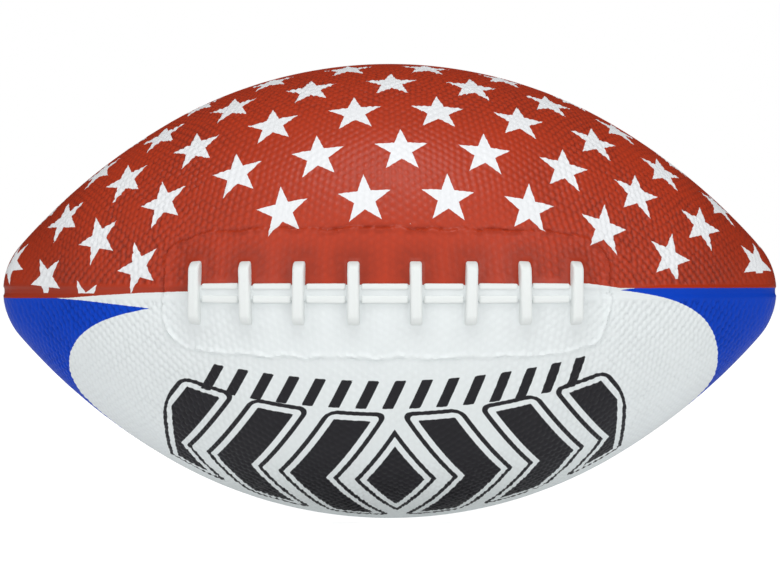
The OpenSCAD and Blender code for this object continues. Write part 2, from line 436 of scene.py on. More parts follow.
def store(mesh, name, values):
    """Keeps one number or one vector for each vertex of the mesh."""
    values = np.asarray(values, np.float32)
    if values.ndim == 1:
        mesh.attributes.new(name, "FLOAT", "POINT").data.foreach_set("value", values)
    else:
        mesh.attributes.new(name, "FLOAT_VECTOR", "POINT").data.foreach_set("vector", values.ravel())


def evaluated_mesh(maker):
    """Plain mesh of what a maker's modifiers give."""
    graph = bpy.context.evaluated_depsgraph_get()
    return bpy.data.meshes.new_from_object(maker.evaluated_get(graph), depsgraph=graph)


def zipped(first, second, first_at, second_at):
    """Triangles between two rows of vertices, joined in the order of their places along the rows."""
    following = np.concatenate([first_at[1:], second_at[1:]])
    order = np.argsort(following, kind="stable")
    from_first = order < len(first_at) - 1
    i = np.cumsum(from_first) - from_first
    j = np.cumsum(~from_first) - ~from_first
    third = np.where(from_first, first[np.minimum(i + 1, len(first) - 1)],
                     second[np.minimum(j + 1, len(second) - 1)])
    return np.stack([first[i], third, second[j]], -1)


def row_shares(width, step):
    """Places of a row's vertices, as shares of its width. Only the fine cover has columns by its seams."""
    if width < NARROW_ROW or step > COVER_STEP:
        return np.linspace(0, 1, max(2, round(width / step)) + 1)
    edge = np.array(SEAM_COLUMNS) / width
    inner = round((width - 2 * SEAM_COLUMNS[-1]) / step)
    middle = np.linspace(edge[-1], 1 - edge[-1], inner + 1)[1:-1]
    return np.concatenate([edge, middle, 1 - edge[::-1]])


def gore_sheet(step, depth, low_angle, count_from):
    """Rows of one quarter of the ball at a depth: points, rows of vertex numbers, places in each row."""
    steps = round(2 * BALL.half / step)
    arcs = np.linspace(-BALL.half, BALL.half, steps + 1)
    points, rows, places = [], [], []
    count = count_from
    for k, arc in enumerate(arcs):
        x, r, _, _ = BALL.at(np.array([arc]), depth)
        shares = np.zeros(1) if k in (0, steps) else row_shares(r[0] * QUARTER, step)
        angle = low_angle + shares * QUARTER
        points.append(np.stack([np.full_like(angle, x[0]), -r[0] * np.cos(angle), r[0] * np.sin(angle)], -1))
        rows.append(np.arange(count, count + len(shares)))
        places.append(shares)
        count += len(shares)
    return np.concatenate(points), rows, places, arcs


def gore(low_angle, lining_step):
    """Closed shell of one cover panel that spans a quarter turn from low_angle up."""
    outer, outer_rows, outer_at, outer_arcs = gore_sheet(COVER_STEP, 0, low_angle, 0)
    inner, inner_rows, inner_at, inner_arcs = gore_sheet(lining_step, COVER_THICKNESS, low_angle, len(outer))
    triangles = []
    for k in range(len(outer_rows) - 1):
        triangles.append(zipped(outer_rows[k + 1], outer_rows[k], outer_at[k + 1], outer_at[k]))
    for k in range(len(inner_rows) - 1):
        triangles.append(zipped(inner_rows[k], inner_rows[k + 1], inner_at[k], inner_at[k + 1]))
    for side, flip in ((0, False), (-1, True)):
        outside = np.array([row[side] for row in outer_rows])
        inside = np.array([row[side] for row in inner_rows])
        wall = zipped(outside, inside, outer_arcs, inner_arcs)
        triangles.append(wall[:, ::-1] if flip else wall)
    return np.concatenate([outer, inner]), np.concatenate(triangles)


# Geometry and shader graphs

class Graph:
    """Adds nodes to one tree. A value given to an input is either a number or another node's socket."""

    def __init__(self, tree):
        self.tree = tree

    def node(self, kind, inputs=None, **settings):
        """One node, with its settings and its inputs."""
        made = self.tree.nodes.new(kind)
        for key, value in settings.items():
            setattr(made, key, value)
        for key, value in (inputs or {}).items():
            self.feed(made.inputs[key], value)
        return made

    def feed(self, socket, value):
        """Links a socket to an input, or sets a number on it."""
        if isinstance(value, bpy.types.NodeSocket):
            self.tree.links.new(value, socket)
        else:
            socket.default_value = value

    def math(self, operation, *values, clamp=False):
        made = self.node("ShaderNodeMath", operation=operation, use_clamp=clamp)
        for socket, value in zip(made.inputs, values):
            self.feed(socket, value)
        return made.outputs[0]

    def vector(self, operation, *values, result=0):
        made = self.node("ShaderNodeVectorMath", operation=operation)
        for socket, value in zip(made.inputs, values):
            self.feed(socket, value)
        return made.outputs[result]

    def scaled(self, vector, scale):
        return self.node("ShaderNodeVectorMath", {0: vector, "Scale": scale}, operation="SCALE").outputs[0]

    def length(self, vector):
        return self.vector("LENGTH", vector, result="Value")

    def split(self, vector):
        return self.node("ShaderNodeSeparateXYZ", {0: vector}).outputs

    def joined(self, x, y, z=0.0):
        return self.node("ShaderNodeCombineXYZ", {0: x, 1: y, 2: z}).outputs[0]

    def step(self, value, low, high, start=0.0, end=1.0, kind="SMOOTHSTEP"):
        """Step of a value from start to end as it goes from low to high, soft unless told otherwise."""
        made = self.node("ShaderNodeMapRange", interpolation_type=kind)
        for socket, given in zip(made.inputs[:5], (value, low, high, start, end)):
            self.feed(socket, given)
        return made.outputs[0]

    def between(self, share, low, high=1.0):
        """Number that lies between low and high at a share of the way."""
        return self.math("MULTIPLY_ADD", share, high - low, low)

    def bell(self, value, sharpness=1):
        """1 where the value is zero, falling off to either side."""
        squared = self.math("MULTIPLY", value, value)
        return self.math("EXPONENT", self.math("MULTIPLY", squared, -sharpness))

    def noise(self, vector, scale, detail=2.0, roughness=0.5):
        made = self.node("ShaderNodeTexNoise")
        self.feed(made.inputs["Vector"], vector)
        self.feed(made.inputs["Scale"], scale)
        self.feed(made.inputs["Detail"], detail)
        self.feed(made.inputs["Roughness"], roughness)
        return made.outputs

    def wander(self, vector, scale, span, detail=2.0):
        """Noise that goes half the span to either side of zero."""
        return self.between(self.noise(vector, scale, detail)["Fac"], -span / 2, span / 2)

    def wander_place(self, vector, scale, span, detail=2.0):
        """The same in all three directions."""
        centred = self.vector("SUBTRACT", self.noise(vector, scale, detail)["Color"], (0.5, 0.5, 0.5))
        return self.scaled(centred, span)

    def mix_colour(self, share, first, second):
        """Colour that goes from the first to the second. Each is a colour or another node's socket."""
        made = self.node("ShaderNodeMix", data_type="RGBA")
        self.feed(made.inputs[0], share)
        for socket, value in ((made.inputs[6], first), (made.inputs[7], second)):
            self.feed(socket, value if isinstance(value, bpy.types.NodeSocket) else (*value, 1))
        return made.outputs[2]


FLOAT = "NodeSocketFloat"
INTEGER = "NodeSocketInt"
VECTOR = "NodeSocketVector"
MATERIAL = "NodeSocketMaterial"


def geometry_tree(name, inputs):
    """Empty geometry tree with a mesh going in and out and named inputs. Returns its graph and sockets."""
    tree = bpy.data.node_groups.new(name, "GeometryNodeTree")
    tree.interface.new_socket("Geometry", in_out="INPUT", socket_type="NodeSocketGeometry")
    for label, kind, value in inputs:
        made = tree.interface.new_socket(label, in_out="INPUT", socket_type=kind)
        if value is not None:
            made.default_value = value
    tree.interface.new_socket("Geometry", in_out="OUTPUT", socket_type="NodeSocketGeometry")
    graph = Graph(tree)
    return graph, graph.node("NodeGroupInput").outputs


def finish_tree(graph, geometry, material):
    """Ends a geometry tree: its copies made real, shaded smooth and given their material."""
    real = graph.node("GeometryNodeRealizeInstances", {"Geometry": geometry}).outputs[0]
    shaded = graph.node("GeometryNodeSetShadeSmooth", {"Geometry": real}).outputs[0]
    painted = graph.node("GeometryNodeSetMaterial", {"Geometry": shaded, "Material": material}).outputs[0]
    graph.node("NodeGroupOutput", {"Geometry": painted})


def grown(mesh, tree, values, name):
    """Runs a geometry tree on a mesh and returns the result as a plain object."""
    maker = new_object(name + "_maker", mesh)
    modifier = maker.modifiers.new("grow", "NODES")
    modifier.node_group = tree
    sockets = {s.name: s.identifier for s in tree.interface.items_tree if s.in_out == "INPUT"}
    for label, value in values.items():
        modifier[sockets[label]] = value
    result = evaluated_mesh(maker)
    bpy.data.objects.remove(maker)
    result.name = name
    return new_object(name, result)


def named(graph, attribute, kind="FLOAT"):
    """A number or a vector stored on the mesh, inside a geometry tree."""
    return graph.node("GeometryNodeInputNamedAttribute", {"Name": attribute}, data_type=kind).outputs[0]


def kept(graph, geometry, name, value):
    """Geometry that keeps one more number for each vertex."""
    made = graph.node("GeometryNodeStoreNamedAttribute", {"Geometry": geometry, "Name": name},
                      data_type="FLOAT", domain="POINT")
    graph.feed(made.inputs["Value"], value)
    return made.outputs[0]


def position(graph):
    """Place of each vertex or point, inside a geometry tree."""
    return graph.node("GeometryNodeInputPosition").outputs[0]


def seeded(graph, place, given):
    """Place from which a panel's noise is read, moved along by the panel's seed."""
    return graph.vector("ADD", place, graph.joined(0, 0, graph.math("MULTIPLY", given["Seed"], SEED_STEP)))


# Grain, seams and wrinkles of the cover

class CoverFields:
    """What the vertices of a panel know about their place, as sockets of a geometry tree."""

    def __init__(self, graph, given):
        self.sheet = named(graph, "sheet", "FLOAT_VECTOR")
        self.outward = named(graph, "outward", "FLOAT_VECTOR")
        self.skin = named(graph, "skin")
        self.edge = named(graph, "edge")
        self.oval = named(graph, "oval")
        self.lacing = named(graph, "lacing")
        self.rail = named(graph, "rail")
        self.tab = named(graph, "tab")
        self.seeded = seeded(graph, self.sheet, given)
        self.along, across, _ = graph.split(self.sheet)
        self.reach = graph.math("ABSOLUTE", self.along)
        self.outer = graph.math("MULTIPLY", across, graph.math("SIGN", given["Lean"]))
        self.flank = graph.math("MAXIMUM", graph.step(self.reach, *FLANK_ALONG),
                                graph.step(self.outer, *FLANK_ACROSS))


def pebble_rows(graph, given, ground):
    """Points in staggered columns on the panel's flat sheet, bent along the seam and laid on the ground."""
    pitch = given["Pebble Pitch"]
    number = graph.node("GeometryNodeInputIndex").outputs[0]
    column = graph.math("FLOOR", graph.math("DIVIDE", graph.math("ADD", number, 0.5), PEBBLE_ROWS))
    row = graph.math("SUBTRACT", number, graph.math("MULTIPLY", column, PEBBLE_ROWS))
    stagger = graph.math("MULTIPLY", graph.math("MODULO", column, 2), 0.5)
    along = graph.math("SUBTRACT", column, PEBBLE_COLUMNS / 2)
    along = graph.math("MULTIPLY", graph.math("MULTIPLY", along, pitch), PEBBLE_COLUMN_SPACING)
    up = graph.math("SUBTRACT", graph.math("ADD", row, stagger), PEBBLE_ROWS / 2)
    up = graph.math("MULTIPLY", graph.math("MULTIPLY", up, pitch), PEBBLE_ROW_SPACING)

    # Bend the columns apart from the middle of the ball to its tips, with the rows square to them
    share = graph.math("MINIMUM", graph.math("DIVIDE", graph.math("ABSOLUTE", along), PEBBLE_LEAN_REACH), 1)
    past = graph.math("MAXIMUM", graph.math("SUBTRACT", graph.math("ABSOLUTE", along), PEBBLE_LEAN_REACH), 0)
    lean = graph.math("MULTIPLY", graph.math("MULTIPLY", share, graph.math("SIGN", along)), given["Lean"])
    rise = graph.math("MULTIPLY_ADD", graph.math("MULTIPLY", share, share), PEBBLE_LEAN_REACH / 2, past)
    u = graph.math("SUBTRACT", along, graph.math("MULTIPLY", lean, up))
    w = graph.math("MULTIPLY_ADD", rise, given["Lean"], up)
    place = graph.joined(u, w)
    waver = graph.wander_place(seeded(graph, place, given), 1 / PEBBLE_WAVER_LENGTH, given["Waver"])
    place = graph.vector("ADD", place, waver)

    points = graph.node("GeometryNodePoints", {"Count": PEBBLE_COLUMNS * PEBBLE_ROWS, "Position": place})
    on_sheet = position(graph)
    surface = graph.node("GeometryNodeSampleUVSurface", {"Mesh": ground}, data_type="FLOAT_VECTOR")
    graph.feed(surface.inputs["Value"], on_sheet)
    sheet = named(graph, "sheet", "FLOAT_VECTOR")
    graph.feed(surface.inputs["Source UV Map"], graph.scaled(sheet, SHEET_SCALE))
    graph.feed(surface.inputs["Sample UV"], graph.scaled(on_sheet, SHEET_SCALE))
    found = graph.node("GeometryNodeSeparateGeometry", {
        "Geometry": points.outputs[0], "Selection": surface.outputs["Is Valid"],
    }, domain="POINT").outputs["Selection"]
    return graph.node("GeometryNodeSetPosition", {
        "Geometry": found, "Position": surface.outputs["Value"],
    }).outputs[0]


def packed_pebbles(graph, given, ground):
    """Middles of the pebbles: rows of points that push each other into an even packing."""
    pitch = graph.math("MULTIPLY", given["Pebble Pitch"], MM)
    start = graph.node("GeometryNodeRepeatInput")
    end = graph.node("GeometryNodeRepeatOutput")
    start.pair_with_output(end)
    graph.feed(start.inputs["Iterations"], given["Packing Steps"])
    graph.feed(start.inputs["Geometry"], pebble_rows(graph, given, ground))
    place = position(graph)
    nearest = graph.node("GeometryNodeIndexOfNearest", {"Position": place}).outputs["Index"]
    other = graph.node("GeometryNodeFieldAtIndex", {"Index": nearest},
                       data_type="FLOAT_VECTOR", domain="POINT")
    graph.feed(other.inputs["Value"], place)
    apart = graph.vector("SUBTRACT", place, other.outputs["Value"])
    short = graph.math("SUBTRACT", pitch, graph.length(apart))
    push = graph.math("MULTIPLY", graph.math("MAXIMUM", short, 0), PACKING_PUSH)
    spread = graph.node("GeometryNodeSetPosition", {
        "Geometry": start.outputs["Geometry"],
        "Offset": graph.scaled(graph.vector("NORMALIZE", apart), push),
    }).outputs[0]
    under = graph.node("GeometryNodeProximity", {0: ground}, target_element="FACES").outputs["Position"]
    held = graph.node("GeometryNodeSetPosition", {"Geometry": spread, "Position": under}).outputs[0]
    graph.feed(end.inputs["Geometry"], held)
    return end.outputs["Geometry"]


def pebble_domes(graph, given, cover, pebbles):
    """Height of the grain as a share: 1 on the crown of a pebble and on bare ground, 0 in between."""
    place = position(graph)
    nearest = graph.node("GeometryNodeSampleNearest", {"Geometry": pebbles}, domain="POINT").outputs["Index"]
    middle = graph.node("GeometryNodeSampleIndex", {"Geometry": pebbles, "Index": nearest},
                        data_type="FLOAT_VECTOR", domain="POINT")
    graph.feed(middle.inputs["Value"], place)
    away = graph.scaled(graph.vector("SUBTRACT", place, middle.outputs["Value"]), 1 / MM)

    # A pebble is longer along its column than across it
    around = graph.vector("NORMALIZE", graph.vector("CROSS_PRODUCT", (1, 0, 0), cover.outward))
    lean = graph.step(cover.along, -PEBBLE_LEAN_REACH, PEBBLE_LEAN_REACH, -1, 1, kind="LINEAR")
    lean = graph.math("MULTIPLY", lean, given["Lean"])
    column = graph.vector("NORMALIZE", graph.vector("ADD", around, graph.joined(lean, 0)))
    longer = graph.vector("DOT_PRODUCT", away, column, result="Value")
    longer = graph.math("MULTIPLY", longer, given["Drawn Out"])
    away = graph.vector("SUBTRACT", away, graph.scaled(column, longer))

    # It is a low dome with a ragged foot, smaller in the middle of the ball than on its flanks
    ragged = graph.wander(cover.seeded, PEBBLE_RAGGED_SCALE, PEBBLE_RAGGEDNESS)
    far = graph.math("DIVIDE", graph.math("ADD", graph.length(away), ragged), given["Pebble Pitch"])
    size = graph.between(cover.flank, PEBBLE_SMALLEST)
    past = graph.math("DIVIDE", far, graph.math("MULTIPLY", given["Pebble Reach"], size))
    height = graph.node("FunctionNodeRandomValue", {"ID": nearest}, data_type="FLOAT")
    graph.feed(height.inputs[2], PEBBLE_LOWEST)
    graph.feed(height.inputs[3], 1.0)
    dome = graph.math("SUBTRACT", 1, graph.math("POWER", past, PEBBLE_CROWN_POWER), clamp=True)
    dome = graph.math("MULTIPLY", dome, height.outputs[1])
    return graph.math("MAXIMUM", dome, graph.step(far, *BARE_GROUND))


def grain_strength(graph, cover):
    """Share of its full depth that the grain has: less at the seams and the tips, over the patch and in
    the middle of the ball."""
    upper_flank = graph.math("MULTIPLY", graph.step(cover.reach, *UPPER_FLANK_ALONG),
                             graph.step(cover.outer, *UPPER_FLANK_ACROSS, 0, UPPER_FLANK_LOSS))
    blotches = graph.noise(cover.seeded, 1 / BLOTCH_LENGTH)["Fac"]
    strength = graph.step(cover.edge, *SEAM_STRETCH)
    for share in (
        graph.step(cover.reach, *TIP_STRETCH, 1, TIP_SHARE),
        graph.between(cover.flank, MIDDLE_SHARE),
        graph.math("SUBTRACT", 1, upper_flank),
        graph.step(cover.oval, *PATCH_STRETCH, PATCH_SHARE, 1),
        graph.step(cover.rail, *RAIL_STRETCH),
        graph.step(blotches, *NOISE_SPAN, BLOTCH_SHARE, 1),
        cover.skin,
    ):
        strength = graph.math("MULTIPLY", strength, share)
    return strength


def seam_and_rail(graph, given, cover):
    """The sunk seam, and the low plateau that joins the two strands of the rail over it."""
    half_width = given["Seam Half Width"]
    fill = graph.math("MULTIPLY", graph.step(cover.rail, *RAIL_FILL_EDGE, 1, 0),
                      graph.step(cover.edge, *RAIL_FILL_STRETCH, 1, 0))
    seam = graph.step(cover.edge, graph.math("MULTIPLY", half_width, 0.5), half_width, -1, 0)
    seam = graph.math("MULTIPLY", seam, given["Seam Depth"])
    seam = graph.math("MULTIPLY", seam, graph.math("SUBTRACT", 1, fill))
    return seam, graph.math("MULTIPLY", fill, given["Rail Fill"])


def patch_wrinkle(graph, given, cover):
    """Broken wrinkle over the edge of the patch: its height, and where the groove beside it lies."""
    off = graph.math("ADD", cover.oval, graph.wander(cover.seeded, 1 / RIDGE_WANDER_LENGTH, RIDGE_WANDER, 3))
    off = graph.math("DIVIDE", off, given["Ridge Half Width"])
    broken = graph.noise(cover.seeded, 1 / RIDGE_BREAK_LENGTH, 3)["Fac"]
    broken = graph.step(broken, *RIDGE_BREAK_SPAN, RIDGE_BREAK_SHARE, 1)
    groove = graph.bell(graph.math("SUBTRACT", off, GROOVE_PLACE), GROOVE_SHARPNESS)
    groove = graph.math("MULTIPLY", graph.math("MULTIPLY", groove, broken), cover.skin)
    ridge = graph.math("MULTIPLY", graph.math("MULTIPLY", graph.bell(off), broken), given["Ridge Height"])
    return graph.math("SUBTRACT", ridge, graph.math("MULTIPLY", groove, given["Groove Depth"])), groove


def lacing_foot(graph, given, cover):
    """Fillets at the foot of the cross laces, and the ragged tab of flash past the last one."""
    fillet = graph.step(cover.lacing, FILLET_START, given["Fillet Reach"], 1, 0)
    fillet = graph.math("MULTIPLY", graph.math("POWER", fillet, 2), given["Fillet Height"])
    ragged = graph.math("ADD", cover.tab, graph.wander(cover.seeded, 1 / TAB_RAGGED_LENGTH, TAB_RAGGEDNESS))
    return fillet, graph.step(ragged, *TAB_EDGE, TAB_HEIGHT, 0)


def pebbled_cover_tree():
    """Raises the pebbled grain on a panel, sinks its seams and lifts the edge of the patch under it."""
    graph, given = geometry_tree("Pebbled Cover", [
        ("Pebble Pitch", FLOAT, PEBBLE_PITCH), ("Lean", FLOAT, PEBBLE_LEAN), ("Waver", FLOAT, PEBBLE_WAVER),
        ("Packing Steps", INTEGER, PACKING_STEPS), ("Pebble Height", FLOAT, PEBBLE_HEIGHTS["upper"]),
        ("Pebble Reach", FLOAT, PEBBLE_REACH), ("Drawn Out", FLOAT, PEBBLE_DRAWN_OUT),
        ("Seam Margin", FLOAT, SEAM_MARGIN), ("Seam Half Width", FLOAT, SEAM_HALF_WIDTH),
        ("Seam Depth", FLOAT, SEAM_DEPTH), ("Ridge Height", FLOAT, RIDGE_HEIGHT),
        ("Ridge Half Width", FLOAT, RIDGE_HALF_WIDTH), ("Groove Depth", FLOAT, GROOVE_DEPTH),
        ("Fillet Height", FLOAT, FILLET_HEIGHT), ("Fillet Reach", FLOAT, FILLET_REACH),
        ("Rail Fill", FLOAT, RAIL_FILL), ("Seed", INTEGER, PEBBLE_SEEDS["upper"]),
        ("Material", MATERIAL, None),
    ])
    cover = CoverFields(graph, given)
    on_ground = graph.math("MULTIPLY", graph.math("GREATER_THAN", cover.skin, 0.99),
                           graph.math("GREATER_THAN", cover.edge, given["Seam Margin"]))
    ground = graph.node("GeometryNodeSeparateGeometry", {
        "Geometry": given["Geometry"], "Selection": on_ground,
    }).outputs["Selection"]
    dome = pebble_domes(graph, given, cover, packed_pebbles(graph, given, ground))
    valley = graph.math("MULTIPLY", graph.math("SUBTRACT", 1, dome), grain_strength(graph, cover))
    seam, plateau = seam_and_rail(graph, given, cover)
    ridge, groove = patch_wrinkle(graph, given, cover)
    fillet, tab = lacing_foot(graph, given, cover)

    rise = graph.math("MULTIPLY", valley, graph.math("MULTIPLY", given["Pebble Height"], -1))
    for part in (seam, plateau, ridge, fillet, tab):
        rise = graph.math("ADD", rise, part)
    rise = graph.math("MULTIPLY", graph.math("MULTIPLY", rise, cover.skin), MM)
    moved = graph.node("GeometryNodeSetPosition", {
        "Geometry": given["Geometry"], "Offset": graph.scaled(cover.outward, rise),
    }).outputs[0]

    # The paint is darkened wherever the cover lies low: painted shade in the valleys of the grain, in the
    # groove and by the seams
    low = graph.math("MAXIMUM", valley, graph.math("MULTIPLY", groove, GROOVE_SHADE))
    low = graph.math("MAXIMUM", low, graph.step(cover.edge, *SEAM_SHADE_STRETCH, SEAM_SHADE, 0))
    finish_tree(graph, kept(graph, moved, "valley", low), given["Material"])
    return graph.tree


# Lacing

def moulded_bar_tree():
    """A rounded rubber bar moulded on the cover: a cross lace or one length of the rail."""
    graph, given = geometry_tree("Moulded Bar", [
        ("Size", VECTOR, None), ("Corner", FLOAT, LACE_CORNER), ("Hood", FLOAT, 0), ("Flare", FLOAT, 0),
        ("Bed", FLOAT, LACE_BED), ("Along", FLOAT, 0), ("Across", FLOAT, 0), ("Lean", FLOAT, 0),
        ("Belly Radius", FLOAT, float(BALL.radii[0])), ("Ball Radius", FLOAT, BALL_RADIUS),
        ("Unevenness", FLOAT, STRAND_UNEVENNESS), ("Seed", FLOAT, 0), ("Material", MATERIAL, None),
    ])
    half = graph.scaled(given["Size"], 0.5)
    _, half_y, half_z = graph.split(half)
    place = graph.vector("MULTIPLY", position(graph), given["Size"])

    # Rounded upright edges and top edges, on a plain foot
    corner = given["Corner"]
    core = graph.vector("SUBTRACT", half, graph.joined(corner, corner, corner))
    core_x, core_y, _ = graph.split(core)
    low = graph.vector("MULTIPLY", graph.joined(core_x, core_y, half_z), (-1, -1, -1))
    inside = graph.vector("MAXIMUM", graph.vector("MINIMUM", place, core), low)
    out = graph.vector("NORMALIZE", graph.vector("SUBTRACT", place, inside))
    rounded = graph.vector("ADD", inside, graph.scaled(out, corner))
    moved_on = graph.joined(graph.math("MULTIPLY", given["Seed"], MOULDING_SEED_STEP), 0)
    rough = graph.wander_place(graph.vector("ADD", rounded, moved_on), MOULDING_NOISE_SCALE,
                               graph.math("MULTIPLY", given["Unevenness"], 2))
    x, y, z = graph.split(graph.vector("ADD", rounded, rough))
    tall = graph.math("MULTIPLY", half_z, 2)
    share = graph.math("DIVIDE", graph.math("ADD", z, half_z), tall)

    # Hoods: both ends curve down to the cover
    past = graph.math("SUBTRACT", graph.math("ABSOLUTE", y), graph.math("SUBTRACT", half_y, given["Hood"]))
    past = graph.math("DIVIDE", graph.math("MAXIMUM", past, 0), graph.math("MAXIMUM", given["Hood"], 0.1))
    drop = graph.math("MULTIPLY", graph.math("POWER", past, HOOD_BEND_POWER),
                      graph.math("MULTIPLY", given["Hood"], HOOD_DROP_SHARE))
    high = graph.math("MULTIPLY", share, graph.math("SUBTRACT", 1, graph.math("DIVIDE", drop, tall)))
    height = graph.math("SUBTRACT", graph.math("MULTIPLY", high, tall), given["Bed"])
    lowness = graph.math("SUBTRACT", 1, share)
    wider = graph.math("MULTIPLY_ADD", graph.math("MULTIPLY", lowness, lowness), given["Flare"], 1)
    x = graph.math("MULTIPLY", x, wider)

    # Wrap the bar round the belly
    belly = given["Belly Radius"]
    arc = graph.math("ADD", graph.math("ADD", x, given["Along"]), graph.math("MULTIPLY", y, given["Lean"]))
    turn = graph.math("DIVIDE", arc, belly)
    reach = graph.math("ADD", belly, height)
    offset = graph.math("SUBTRACT", given["Ball Radius"], belly)
    r = graph.math("MULTIPLY_ADD", reach, graph.math("COSINE", turn), offset)
    middle_turn = graph.math("DIVIDE", given["Along"], belly)
    r_cover = graph.math("MULTIPLY_ADD", belly, graph.math("COSINE", middle_turn), offset)
    angle = graph.math("DIVIDE", graph.math("ADD", y, given["Across"]), r_cover)
    wrapped = graph.joined(
        graph.math("MULTIPLY", reach, graph.math("SINE", turn)),
        graph.math("MULTIPLY", graph.math("MULTIPLY", r, graph.math("COSINE", angle)), -1),
        graph.math("MULTIPLY", r, graph.math("SINE", angle)),
    )
    # The share of the way down from the top, which the lace rubber reads as painted shade towards the foot
    footed = kept(graph, given["Geometry"], "foot", graph.math("SUBTRACT", 1, high, clamp=True))
    moved = graph.node("GeometryNodeSetPosition", {
        "Geometry": footed, "Position": graph.scaled(wrapped, MM),
    }).outputs[0]
    finish_tree(graph, moved, given["Material"])
    return graph.tree


# Fields over the cover: what is raised and printed where

def smooth(value, low, high):
    """0 below low, 1 above high and a soft step between."""
    share = np.clip((value - low) / (high - low), 0, 1)
    return share * share * (3 - 2 * share)


def sheet_place(arc, r, angle, middle):
    """Place on a flat sheet laid over a panel: its lines bow out a little to either side of the middle."""
    off = angle - middle
    bow = np.where(off < 0, *SHEET_BOW)
    return arc * (1 + off * off * bow), r * off


def oval_distance(arc, across):
    """Rough distance outside the blunt oval at which the patch under the lacing shows in the cover."""
    half_length = lace_place(LACE_COUNT) + PATCH_END_MARGIN
    half_width = LACE_LENGTH / 2 + PATCH_SIDE_MARGIN
    power = PATCH_BLUNTNESS
    along, aside = np.abs(arc) / half_length, np.abs(across) / half_width
    reach = np.maximum(along**power + aside**power, 1e-9) ** (1 / power)
    slope = np.hypot(along ** (power - 1) / half_length, aside ** (power - 1) / half_width)
    return (reach - 1) * reach ** (power - 1) / np.maximum(slope, 1e-9)


def lace_distance(arc, across):
    """Distance outside the foot of the nearest cross lace."""
    nearest = np.full_like(arc, FAR_AWAY)
    for number in range(1, LACE_COUNT + 1):
        sideways = np.maximum(np.abs(arc - lace_place(number)) - LACE_WIDTH / 2, 0)
        endways = np.maximum(np.abs(across) - LACE_LENGTH / 2, 0)
        nearest = np.minimum(nearest, np.hypot(sideways, endways))
    return nearest


def rail_distance(arc, across):
    """Distance outside the rail of two strands that runs under the cross laces."""
    beside = np.maximum(np.abs(arc) - lace_place(LACE_COUNT), 0)
    return np.hypot(beside, np.maximum(np.abs(across) - STRAND_UPPER[0] - STRAND_UPPER[1] / 2, 0))


def tab_distance(arc, across):
    """Distance outside the little tab of flash past the last cross lace, below zero on it."""
    middle = lace_place(LACE_COUNT) + TAB_GAP
    return np.maximum(np.abs(arc - middle) - TAB_HALF_SIZE, np.abs(across + TAB_DROP) - TAB_HALF_SIZE)


def star_cell(u, w):
    """Column and row of the star nearest to a place on the upper sheet, counted down and to the right."""
    turn = complex(math.cos(STAR_TURN), -math.sin(STAR_TURN))
    place = (u - STAR_ORIGIN[0] + 1j * (w - STAR_ORIGIN[1])) * turn
    row = -np.round(place.imag / STAR_ROW_PITCH)
    column = np.round((place.real + row * STAR_ROW_SHIFT) / STAR_PITCH)
    return column, row


def stars_allowed(u, w):
    """True where the nearest star of the upper sheet is printed."""
    column, row = star_cell(u, w)
    allowed = (row >= STAR_ROWS[0]) & (row <= STAR_ROWS[1])
    for left_out in STARS_LEFT_OUT:
        allowed &= (column != left_out[0]) | (row != left_out[1])
    return allowed


def white_ends(arc, w):
    """Distance past the curved ends of the white field, below zero inside it."""
    aside = np.abs(w + WHITE_OFFSET)
    left = WHITE_REACH_LEFT - (aside / WHITE_CURVE_LEFT[0]) ** WHITE_CURVE_LEFT[1]
    right = WHITE_REACH_RIGHT - (aside / WHITE_CURVE_RIGHT[0]) ** WHITE_CURVE_RIGHT[1]
    return np.maximum(-left - arc, arc - right)


def motif_distance(u, w):
    """Distance outside the black shapes of the motif, below zero inside them."""
    side = np.abs(u - MOTIF_MIDDLE)
    middle = (MOTIF_TOP + MOTIF_BOTTOM) / 2
    steepness = math.hypot(1, CHEVRON_SLOPE)
    across = (side + CHEVRON_SLOPE * np.abs(w - middle) - CHEVRON_START) / CHEVRON_PITCH
    from_band = np.abs(across - np.round(across)) * CHEVRON_PITCH
    band = (from_band - CHEVRON_WIDTH / 2) / steepness
    bottom = MOTIF_BOTTOM + MOTIF_BOTTOM_RISE * (side / MOTIF_HALF_LENGTH) ** 2
    ends = np.maximum(w - MOTIF_TOP, bottom - w)
    ends = np.maximum(ends, side - MOTIF_HALF_LENGTH)
    outside = np.hypot(np.maximum(band, 0), np.maximum(ends, 0))
    return np.where((band > 0) | (ends > 0), outside, np.maximum(band, ends))


def bars_distance(u, w):
    """The same for the row of slanted bars above."""
    side = u - MOTIF_MIDDLE
    up = w - BAR_BASE + BAR_SAG * (side / BAR_HALF_LENGTH) ** 2
    along = side - BAR_LEAN * up
    bar = np.abs(along / BAR_PITCH - np.round(along / BAR_PITCH)) * BAR_PITCH - BAR_WIDTH / 2
    bar = bar / math.hypot(1, BAR_LEAN)
    ends = np.maximum(np.abs(up) - BAR_HALF_HEIGHT, np.abs(along) - BAR_HALF_LENGTH)
    return np.maximum(bar, ends)


